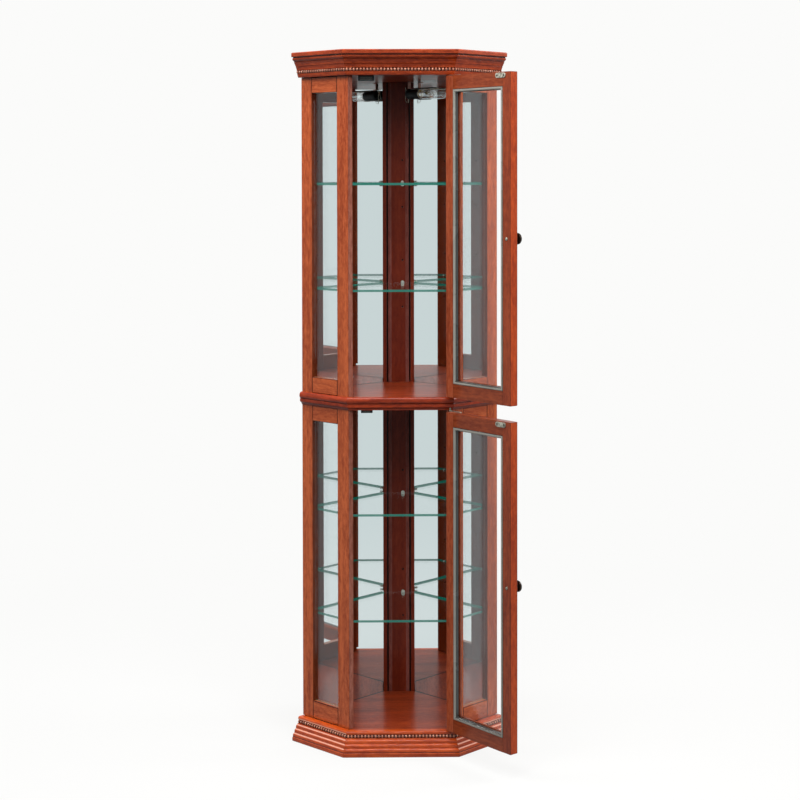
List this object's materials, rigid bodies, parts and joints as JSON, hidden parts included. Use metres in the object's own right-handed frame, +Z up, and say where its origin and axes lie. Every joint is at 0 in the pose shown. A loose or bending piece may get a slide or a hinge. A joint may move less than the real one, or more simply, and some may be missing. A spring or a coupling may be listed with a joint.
{
  "type": "corner curio cabinet",
  "caption": "Five-sided corner display cabinet with upper and lower glazed doors, angled glass sides, glass shelves, mirrored back walls and a small lamp.",
  "frame": {"origin": "on the floor, under the middle of the front face of the case", "axes": "+Z up, +Y back towards the room corner, +X to the right seen from the front; the doors stand open in the pictured pose"},
  "size_m": [0.5787, 0.5878, 1.8],
  "materials": {
    "cherry": "high-gloss cherry lacquer",
    "cherry_inside": "dark glossy cherry lacquer",
    "clear_glass": "clear glass with green edges",
    "mirror": "silvered mirror",
    "hardboard": "plain brown hardboard",
    "bead_grey": "grey plastic glazing bead",
    "steel": "nickel-plated steel",
    "bronze": "dark antique bronze",
    "black": "black plastic"
  },
  "bodies": {
    "cabinet": {"back_panel_left": "hardboard", "back_panel_right": "hardboard", "bottom_deck": "cherry_inside", "corner_post": "cherry_inside", "crown_front": "cherry", "crown_left": "cherry", "crown_right": "cherry", "front_stile_left": "cherry", "front_stile_right": "cherry", "glass_shelf_lower_1": "clear_glass", "glass_shelf_lower_2": "clear_glass", "glass_shelf_upper_1": "clear_glass", "glass_shelf_upper_2": "clear_glass", "lamp_bracket": "steel", "lamp_bulb": "clear_glass", "lamp_hood": "black", "lamp_socket": "black", "magnetic_catch_lower": "black", "magnetic_catch_upper": "black", "mirror_lower_left": "mirror", "mirror_lower_right": "mirror", "mirror_upper_left": "mirror", "mirror_upper_right": "mirror", "plinth_front": "cherry", "plinth_left": "cherry", "plinth_right": "cherry", "rear_stile_left": "cherry", "rear_stile_right": "cherry", "side_glass_lower_left": "clear_glass", "side_glass_lower_right": "clear_glass", "side_glass_upper_left": "clear_glass", "side_glass_upper_right": "clear_glass", "side_rail_lower_bottom_left": "cherry", "side_rail_lower_bottom_right": "cherry", "side_rail_lower_top_left": "cherry", "side_rail_lower_top_right": "cherry", "side_rail_upper_bottom_left": "cherry", "side_rail_upper_bottom_right": "cherry", "side_rail_upper_top_left": "cherry", "side_rail_upper_top_right": "cherry", "top_board": "cherry_inside", "waist_deck": "cherry_inside", "waist_moulding_front": "cherry", "waist_moulding_left": "cherry", "waist_moulding_right": "cherry"},
    "lower_door": {"door_frame_lower": "cherry", "door_glass_lower": "clear_glass", "door_knob_lower": "bronze", "glazing_bead_lower": "bead_grey", "hinge_leaf_lower_bottom": "steel", "hinge_leaf_lower_top": "steel", "strike_plate_lower": "steel"},
    "upper_door": {"door_frame_upper": "cherry", "door_glass_upper": "clear_glass", "door_knob_upper": "bronze", "glazing_bead_upper": "bead_grey", "hinge_leaf_upper_bottom": "steel", "hinge_leaf_upper_top": "steel", "strike_plate_upper": "steel"}
  },
  "joints": [
    {"name": "lower_door_hinge", "type": "hinge", "parent": "cabinet", "child": "lower_door", "pos_m": [0.1272, -0.0033, 0.4703], "axis": [0, 0, 1], "range_deg": [-128, 12]},
    {"name": "upper_door_hinge", "type": "hinge", "parent": "cabinet", "child": "upper_door", "pos_m": [0.1272, -0.0033, 1.3254], "axis": [0, 0, 1], "range_deg": [-128, 12]}
  ]
}
